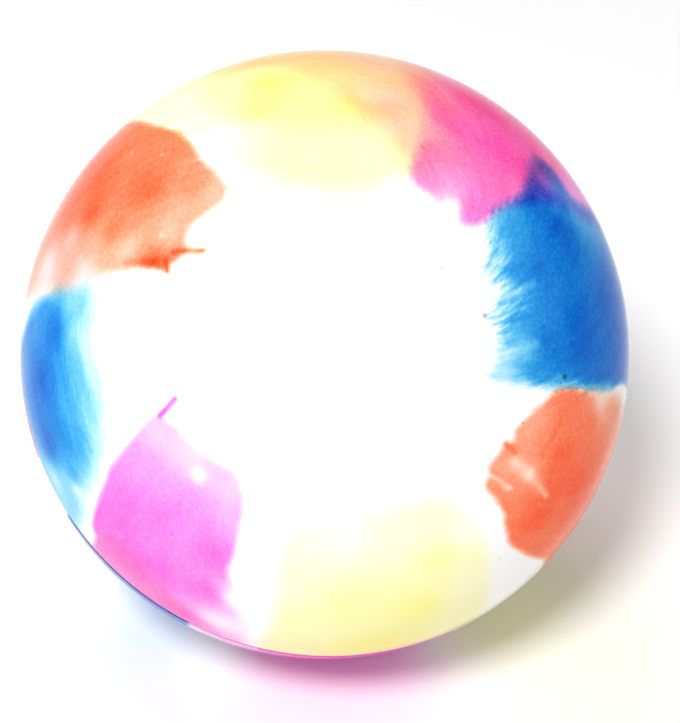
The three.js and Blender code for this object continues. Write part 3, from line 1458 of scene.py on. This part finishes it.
@dataclass
class Studio:
    """Pale floor, dim white surroundings, four soft lights and the camera.

    The ball's radius is in millimetres and the other lengths are in metres.
    """

    ball_radius: float
    photo: PhotoFrame = field(default_factory=PhotoFrame)
    floor_radius: float = 1.6
    floor_sides: int = 96
    floor_white: Triple = (0.93, 0.93, 0.93)
    floor_roughness: float = 0.6
    near_clip: float = 0.01
    surround_white: Triple = (1.0, 1.0, 1.0)
    surround: float = 0.3
    lights: tuple[Softbox, ...] = (
        Softbox("key", (-0.2, -0.6, 0.77), 5.8, size=0.2),
        Softbox("back_fill", (-0.25, 0.45, 0.86), 1.9),
        Softbox("right_fill", (0.9, 0.05, 0.3), 0.9),
        Softbox("left_fill", (-0.95, -0.05, 0.28), 0.9),
    )

    def build(self) -> None:
        """Make the camera, the floor and the light."""
        self.add_camera()
        self.add_floor()
        self.add_light()

    def add_camera(self) -> None:
        """Aim the camera so that the ball fills the same circle as in the photograph."""
        photo = self.photo
        radius = self.ball_radius * MM
        lift = math.radians(photo.elevation)
        away = photo.distance_in_radii * radius
        data = bpy.data.cameras.new("camera")
        data.sensor_width = photo.sensor
        spread = 1 / math.sqrt(photo.distance_in_radii ** 2 - 1)
        data.lens = photo.ball_pixels * photo.sensor / (photo.height * spread)
        data.shift_x = (photo.width / 2 - photo.centre_x) / photo.height
        data.shift_y = (photo.centre_y - photo.height / 2) / photo.height
        data.clip_start = self.near_clip
        camera = add_object("camera", data)
        camera.location = (0.0, -away * math.cos(lift), away * math.sin(lift))
        camera.rotation_euler = (math.pi / 2 - lift, 0.0, 0.0)
        bpy.context.scene.camera = camera

    def add_floor(self) -> None:
        """Lay a plain pale floor under the ball."""
        turn = np.linspace(0, 2 * math.pi, self.floor_sides, endpoint=False)
        level = -self.ball_radius * MM
        ring = [(self.floor_radius * math.cos(t), self.floor_radius * math.sin(t), level) for t in turn]
        mesh = bpy.data.meshes.new("floor")
        mesh.from_pydata(ring, [], [tuple(range(self.floor_sides))])
        made, sketch, shader = new_material("floor_white")
        sketch.fill(shader, Base_Color=opaque(self.floor_white), Roughness=self.floor_roughness)
        mesh.materials.append(made)
        floor = add_object("floor", mesh)
        floor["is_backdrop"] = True

    def add_light(self) -> None:
        """Set the white surroundings and the soft lights."""
        scene = bpy.context.scene
        world = bpy.data.worlds.new("white_room")
        world.use_nodes = True
        backdrop = world.node_tree.nodes["Background"]
        sketch = NodeSketch(world.node_tree)
        sketch.fill(backdrop, Color=opaque(self.surround_white), Strength=self.surround)
        scene.world = world
        for light in self.lights:
            light.build()
        scene.view_settings.view_transform = "Standard"


FRONT_PATCHES = (
    Patch(
        "front_right_blue_inlay",
        Pigment.BLUE,
        outline=to_seam(
            343, 21, (341, 60), (331, 41), (319, 28), (330, 25), (350, 24), (8, 24), (16, 29), (20, 40),
        ),
        dabs=(
            Dab(6, 26, 0.5, 6.0, 2.6), Dab(345, 29, 0.6, 7.0, 3.0), Dab(331, 31, 0.36, 7.0, 3.0),
            Dab(0, 34, 0.86, 4.5, 1.8), Dab(337, 37, 0.92, 3.5, 1.8), Dab(319, 30, 0.12, 1.4, 0.6),
            Dab(325, 36, 0.62, 1.4, 0.5), Dab(12, 42, 1.18), Dab(345, 45, 1.12), Dab(354, 56, 1.0),
            Dab(18, 39.5, 0.98, 1.5), Dab(22.5, 41.5, 0.42, 2.4), Dab(18.5, 29, 0.5, 3.0, 0.4),
            Dab(25.5, 46, 0.18, 3.0), Dab(18.5, 53, 0.34, 2.5), Dab(342, 68, 1.0),
        ),
        strokes=(
            Stroke((326, 29.5), (335, 34), 0.9, 0.5, -0.35),
            Stroke((347, 26), (354, 32), 0.8, 0.4, -0.35),
        ),
        shade=to_seam(
            343, 18, (342, 68), (338, 60), (333.5, 50), (330, 43.5), (326, 39), (321.5, 34), (316.5, 30),
            (316.5, 28.5), (324, 28), (330, 27), (336, 26), (346, 26.5), (353, 25), (2, 24.5), (9, 25),
            (15, 25.5), (19.5, 27.5), (21.5, 32), (23.5, 37), (27, 41.5), (30.5, 46.5), (31, 50),
            (28, 53), (24, 53), (20.5, 53), (18.5, 56), (17.5, 63),
        ),
    ),
    Patch(
        "front_upper_right_pink_inlay",
        Pigment.PINK,
        outline=to_seam(
            28, 63, (29, 60), (31, 46), (27, 33), (25, 24), (33, 21), (43, 19), (55, 21), (59, 32),
            (63, 55),
        ),
        dabs=(
            Dab(38, 41, 1.32), Dab(29, 43, 1.25, 1.6), Dab(50, 37, 1.05), Dab(46, 22, 0.72, 1.3),
            Dab(25, 24, 0.98), Dab(36, 21, 0.36, 1.5), Dab(34, 54, 1.08, 2.5), Dab(49, 50, 1.2),
            Dab(56, 33, 0.5, 4.0), Dab(59.5, 46, 0.63, 5.0), Dab(67.5, 55, 0.2, 5.0),
            Dab(24, 33, 0.95, 2.0), Dab(20, 50, 0.5, 3.0), Dab(45, 72, 1.15), Dab(66, 76, 0.35, 7.0),
        ),
        shade=to_seam(
            15, 70, (14, 58), (15.5, 51), (18, 46), (20, 40), (20.5, 35), (21.5, 31), (21, 27.5),
            (19, 24.5), (19, 22.5), (21.5, 20), (26.5, 20.5), (32, 22), (37.5, 20.5), (37, 19),
            (43.5, 19), (53, 19), (57.5, 20.5), (59, 25), (59, 30.5), (61, 38), (64.5, 44), (68, 53.5),
        ),
    ),
    Patch(
        "front_top_yellow_inlay",
        Pigment.YELLOW,
        outline=to_seam(
            67, 121, (67, 45), (68, 28), (82, 19), (102, 19), (118, 26), (122, 40),
        ),
        dabs=(
            Dab(103, 47, 1.28), Dab(111.5, 51, 0.58, 4.0), Dab(109.5, 39, 1.12), Dab(117, 34, 0.4, 4.0),
            Dab(123, 37.5, 0.06, 4.0), Dab(123.5, 47, 0.28, 4.0), Dab(98, 35, 0.9), Dab(87, 35, 1.0),
            Dab(100, 24.5, 0.56, 5.0), Dab(75, 23.5, 0.52, 4.5), Dab(112, 23.5, 0.62, 5.0),
            Dab(121, 57, 0.26, 4.0), Dab(86, 44, 0.65), Dab(92, 57, 0.6), Dab(72, 38, 0.04, 3.0),
            Dab(78, 42, 0.34, 3.0), Dab(66, 31, 0.08, 3.0), Dab(74, 56, 0.16, 3.0), Dab(100, 72, 1.1),
            Dab(119, 74, 0.35, 4.0),
        ),
        shade=to_seam(
            62, 128, (62, 45), (60, 30), (59, 20.5), (66, 17.5), (82, 14.5), (102, 14.5), (117, 18),
            (128, 26), (129, 40),
        ),
    ),
    Patch(
        "front_upper_left_orange_inlay",
        Pigment.ORANGE,
        outline=to_seam(
            126, 164, (127, 60), (128, 47), (134, 33), (141, 29), (150, 33), (157, 33), (163, 30),
            (167, 37), (165, 60),
        ),
        dabs=(
            Dab(151.5, 57.5, 1.22), Dab(145, 44.5, 1.1), Dab(140, 36, 0.76), Dab(140, 31, 0.4, 1.4),
            Dab(132, 50, 0.82), Dab(150, 35, 0.54, 1.8), Dab(157.5, 36, 0.42, 1.6),
            Dab(166, 37.5, 1.05, 0.8), Dab(155.5, 49, 0.88), Dab(162, 44.5, 0.37, 1.4),
            Dab(160, 54, 0.44, 3.0, 0.1), Dab(165, 55, 0.17, 4.0, 0.05), Dab(157, 62, 0.34, 4.0, 0.05),
            Dab(162, 69, 0.1, 4.0, 0.05), Dab(144, 60, 1.12), Dab(150, 66, 0.9), Dab(135, 68, 0.78),
            Dab(148, 78, 0.5, 2.5, 0.1),
        ),
        strokes=(
            Stroke((163, 34), (162.5, 28.5), 0.4, 0.2, 0.9),
            Stroke((165, 44), (166, 37.5), 0.5, 0.5, 0.5),
            Stroke((165.5, 35.5), (169, 35), 0.4, 0.15, 0.6), dot(136.5, 55.5, 0.3, -0.3),
            dot(135, 47, 0.3, -0.35), dot(158, 37.5, 0.3, -0.4),
        ),
        shade=to_seam(
            126, 163, (127, 68), (128, 58), (128, 48), (129.5, 43), (132.5, 37.5), (135, 32), (137, 29.5),
            (142.5, 28.5), (148, 30), (152, 31.5), (155.5, 32.5), (159, 32.5), (162, 31), (162.5, 28.5),
            (164, 32), (166, 33.5), (167, 34.5), (169, 35), (168, 36.5), (167, 42), (167, 49), (167, 53),
            (168, 57.5), (168, 63), (166.5, 69), (165, 77),
        ),
    ),
    Patch(
        "front_left_blue_inlay",
        Pigment.BLUE,
        outline=to_seam(
            168, 204, (169, 66), (172, 52), (181, 48), (192, 50), (199, 59), (203, 75),
        ),
        dabs=(
            Dab(171, 68, 0.66, 1.6), Dab(176, 80, 0.7, 1.6), Dab(172, 58, 0.24, 2.0, 0.1),
            Dab(176, 64, 0.9, 5.0, 0.6), Dab(178, 56.5, 0.34, 9.0, 1.0), Dab(184, 61, 0.68, 19.0, 1.8),
            Dab(192, 62, 0.66, 19.0, 1.8), Dab(198, 67, 0.85, 14.0, 1.4), Dab(183, 73, 1.02, 8.0),
            Dab(194, 77, 1.04, 5.0), Dab(202, 72, 0.5, 5.0), Dab(202, 78, 0.24, 2.0, 0.05),
            Dab(200, 83, 0.14, 2.0, 0.05), Dab(205, 75, 0.04, 2.5, 0.05),
        ),
        shade=to_seam(
            174, 208, (172, 82), (169.5, 75.5), (168.5, 71), (168.5, 66), (169, 60), (170.5, 54),
            (173.5, 53), (181, 57.5), (190, 59.5), (197, 63), (202, 67), (206, 73), (208, 79),
        ),
        twist=84.0,
    ),
    Patch(
        "front_lower_left_pink_inlay",
        Pigment.PINK,
        outline=to_seam(
            213, 234, (210, 77), (207, 60), (204, 48), (206, 42), (217, 42), (229, 43), (235, 48),
            (238, 61), (236, 77),
        ),
        dabs=(
            Dab(208, 46.5, 0.4), Dab(217, 44, 0.3, 1.6), Dab(230, 45, 0.38, 1.5), Dab(235, 50, 0.58),
            Dab(210, 54, 0.7), Dab(214, 64, 1.04), Dab(212, 72, 1.12), Dab(221, 58, 0.93),
            Dab(226, 53.5, 0.82), Dab(234, 60, 1.06), Dab(236, 70, 1.14), Dab(224, 74, 1.12),
            Dab(234, 86, 1.05), Dab(241, 69, 0.04, 3.0, 0.0), Dab(241, 80, 0.09, 4.0, 0.0),
        ),
        strokes=(
            # The round pale spot at (222, 46.5) is a painted highlight on the pink
            Stroke((205.5, 44.5), (204.5, 40), 0.32, 0.25, 2.2), dot(222, 46.5, 1.0, -1.0),
        ),
        shade=to_seam(
            213, 247, (213, 81.5), (211.5, 79), (209.5, 70.5), (208, 65), (206.5, 59.5), (206, 55),
            (205, 49.5), (204.5, 46.5), (205.5, 44.5), (208.5, 43.5), (212.5, 43), (219, 43),
            (223.5, 42.5), (227.5, 42), (231, 43), (234, 45.5), (236, 51), (237.5, 57), (237.5, 61.5),
            (239.5, 65), (242, 71), (245, 80),
        ),
        twist=4.0,
    ),
    Patch(
        "front_bottom_yellow_inlay",
        Pigment.YELLOW,
        outline=to_seam(
            251, 281, (249, 68), (245, 52), (251, 43), (265, 41), (280, 43), (286, 52), (283, 74),
        ),
        dabs=(
            Dab(271, 84, 1.08), Dab(277, 68, 0.82), Dab(264, 63, 0.66, 2.0), Dab(257, 70, 0.55, 2.5),
            Dab(250, 59, 0.38, 4.0), Dab(282, 55, 0.66), Dab(287.5, 52, 0.16, 3.0),
            Dab(288.5, 66, 0.32, 3.0), Dab(286, 77, 0.5, 2.0), Dab(261, 47, 0.15, 4.0),
            Dab(272, 48, 0.32, 3.5), Dab(245, 60, 0.1, 4.0),
        ),
        shade=to_seam(
            249, 290, (249.5, 80), (249.5, 72), (246.5, 58), (247, 48), (258, 43), (274, 41.5), (285, 43),
            (291, 52), (292, 66),
        ),
    ),
    Patch(
        "front_lower_right_orange_inlay",
        Pigment.ORANGE,
        outline=to_seam(
            307, 336, (301, 73), (297, 58), (296, 46), (302, 41), (312, 39), (321, 42), (328, 47),
            (333, 62),
        ),
        dabs=(
            Dab(316, 53, 1.1), Dab(306, 60, 1.1), Dab(314.5, 41, 0.5), Dab(304, 44, 0.54),
            Dab(298, 48, 0.78), Dab(327, 56, 0.92), Dab(328, 46, 0.86), Dab(333.5, 57, 0.25, 4.0),
            Dab(301, 65, 0.88), Dab(313, 47, 0.68), Dab(318, 65, 1.12), Dab(335, 75, 0.6, 4.0),
        ),
        strokes=(
            Stroke((305.5, 44), (307.5, 49), 0.7, 1.0, -0.55),
            Stroke((307.5, 49), (309, 57), 0.9, 0.4, -0.5), Stroke((306, 40), (307, 42.5), 0.4, 0.4, 0.6),
            Stroke((313, 48), (322, 47), 0.5, 0.4, 0.25),
        ),
        shade=to_seam(
            306, 338, (306, 80), (300.5, 67), (298, 61.5), (297.5, 56.5), (298, 53.5), (298, 50.5),
            (297, 47), (296, 44.5), (297.5, 43.5), (299, 45), (301, 48.5), (302, 48.5), (300.5, 45.5),
            (299, 43.5), (298.5, 42), (299.5, 41), (303, 40.5), (306, 40), (308.5, 40.5), (310.5, 39.5),
            (314.5, 39.5), (318.5, 40), (321.5, 41), (324, 41.5), (327, 42.5), (329, 44.5), (330.5, 46.5),
            (332, 50), (335, 56.5), (337.5, 66),
        ),
    ),
    Patch(
        "peach_stain",
        Pigment.ORANGE,
        outline=to_seam(
            26, 108, (26, 50), (24, 40), (22, 30), (24, 21), (40, 19), (56, 20), (62, 21.5), (67, 24),
            (75, 26), (81.5, 29.5), (85, 34.5), (89, 40), (94, 46), (97, 54), (106, 60),
        ),
        dabs=(
            Dab(87, 44, 0.15, 4.0), Dab(94, 57, 0.2, 5.0), Dab(71, 36, 0.38, 4.0), Dab(79, 40, 0.21, 4.0),
            Dab(66, 44, 0.34, 4.0), Dab(75, 55, 0.27, 4.0), Dab(63, 30, 0.34, 4.0), Dab(77, 27, 0.1, 4.0),
            Dab(42, 40, 0.14, 4.0), Dab(34, 24, 0.08, 4.0), Dab(62, 52, 0.3, 4.0), Dab(72, 76, 0.25, 7.0),
            Dab(98, 74, 0.14, 9.0),
        ),
        is_inlay=False,
    ),
    Patch(
        "salmon_stain",
        Pigment.ORANGE,
        outline=to_seam(
            213, 237, (213, 80), (217, 75), (222, 76), (232, 80), (237, 86),
        ),
        dabs=(
            Dab(218, 84, 0.08, 3.0), Dab(230, 88, 0.11, 4.0),
        ),
        is_inlay=False,
    ),
    Patch(
        "rose_stain",
        Pigment.PINK,
        outline=to_seam(
            127, 164, (128, 66), (140, 64), (152, 62), (158, 55), (166, 52), (168, 60), (165, 76),
        ),
        dabs=(
            Dab(135, 72, 0.12, 4.0), Dab(146, 72, 0.12, 4.0), Dab(157, 66, 0.12, 4.0),
            Dab(161, 60, 0.08, 4.0), Dab(165, 55, 0.07, 4.0), Dab(162, 74, 0.06, 4.0),
        ),
        is_inlay=False,
    ),
)


@dataclass(frozen=True)
class Tongue:
    """A plain tongue of colour that runs from the seam towards the pole and ends in a slanted tip.

    Sides are longitudes and tips polar angles. All its sizes are in degrees.
    """

    name: str
    pigment: Pigment
    sides: tuple[float, float]
    tips: tuple[float, float]
    flank: float = 64.0
    draw_in: float = 8.0
    side_inset: float = 5.0
    body_lead: float = 16.0
    tip_lead: float = 4.0

    def patch(self) -> Patch:
        """Work out the tongue's outline and dabs.

        Returns:
            The patch.
        """
        start, end = self.sides
        first, second = self.tips
        left = start + self.draw_in
        right = end - self.draw_in
        corners = ((start, self.flank), (left, first), (right, second), (end, self.flank))
        outline = to_seam(start, end, *corners)
        middle = (start + end) / 2
        dabs = (
            Dab(middle, 86, 1.8),
            Dab(start + self.side_inset, 72, 1.1),
            Dab(end - self.side_inset, 66, 0.95),
            Dab(middle, (first + second) / 2 + self.body_lead, 0.8, 1.6, 1.0),
            Dab(left, first + self.tip_lead, 0.4, 4.0, 2.2),
            Dab(right, second + self.tip_lead, 0.55, 2.5, 1.6),
        )
        return Patch(self.name, self.pigment, outline, dabs)


REAR_TONGUES = (
    Tongue("rear_lower_left_blue_inlay", Pigment.BLUE, (206, 235), (38, 46)),
    Tongue("rear_bottom_pink_inlay", Pigment.PINK, (247, 286), (30, 24)),
    Tongue("rear_lower_right_yellow_inlay", Pigment.YELLOW, (296, 326), (42, 36)),
    Tongue("rear_right_orange_inlay", Pigment.ORANGE, (338, 369), (34, 29)),
    Tongue("rear_upper_right_blue_inlay", Pigment.BLUE, (21, 52), (26, 33)),
    Tongue("rear_top_pink_inlay", Pigment.PINK, (61, 97), (31, 38)),
    Tongue("rear_upper_left_yellow_inlay", Pigment.YELLOW, (109, 146), (25, 31)),
    Tongue("rear_left_orange_inlay", Pigment.ORANGE, (157, 193), (40, 33)),
)

REAR_STAINS = (
    Patch(
        "pink_bleed",
        Pigment.PINK,
        outline=to_seam(
            231, 252, (233, 82), (240, 76), (248, 72), (252, 82),
        ),
        dabs=(
            Dab(236, 87, 0.35, 3.0), Dab(245, 85, 0.7, 3.0),
        ),
        is_inlay=False,
    ),
)

FRONT_SPECKS = (
    Speck(73, 16, 0.2, 0.25), Speck(58, 27.5, 0.3, 0.3), Speck(74, 54, 0.25, 0.25),
    Speck(26.5, 42, 0.28, 0.5), Speck(2, 2.5, 0.15, 0.4), Speck(356.5, 13, 0.15, 0.4),
    Speck(335, 22, 0.28, 0.6), Speck(331.5, 43, 0.35, 0.7), Speck(313.5, 39.5, 0.2, 0.5),
    Speck(294.5, 63, 0.2, 0.2),
)


def make_finishes() -> dict[str, bpy.types.Material]:
    """Make the material of each slot.

    Returns:
        The materials by slot.
    """
    swirl = Dyes().build()
    gloss = Gloss().build()
    slots = [WHITE_SLOT] + [pigment.value for pigment in Pigment]
    finishes = {slot: PvcFinish(slot).material(swirl, gloss) for slot in slots}
    finishes[CORE_SLOT] = CorkFinish().material()
    return finishes


def as_lists(box: object) -> list[list[float]]:
    """Give a box as plain lists of numbers."""
    return [[float(value) for value in corner] for corner in box]


def main() -> None:
    """Build the ball, dress it and set up the studio."""
    logging.basicConfig(level=logging.INFO, format="%(name)s %(message)s")
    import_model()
    cad_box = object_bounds()
    low, high = as_lists(cad_box)
    radius = min(top - foot for foot, top in zip(low, high)) / 2 / MM
    sizes = BallSizes(radius)
    pole = PoleFrame()
    rear_patches = tuple(tongue.patch() for tongue in REAR_TONGUES) + REAR_STAINS
    front = HalfShell(Side.FRONT, pole, sizes, FRONT_PATCHES, FRONT_SPECKS, grid_step=1.1)
    rear = HalfShell(Side.REAR, pole, sizes, rear_patches)
    core = Core(sizes.cavity_radius - sizes.bond_gap)
    finishes = make_finishes()
    for part in (front, rear, core):
        part.build()
        part.dress(finishes)
    Studio(radius).build()


if __name__ == "__main__":
    main()
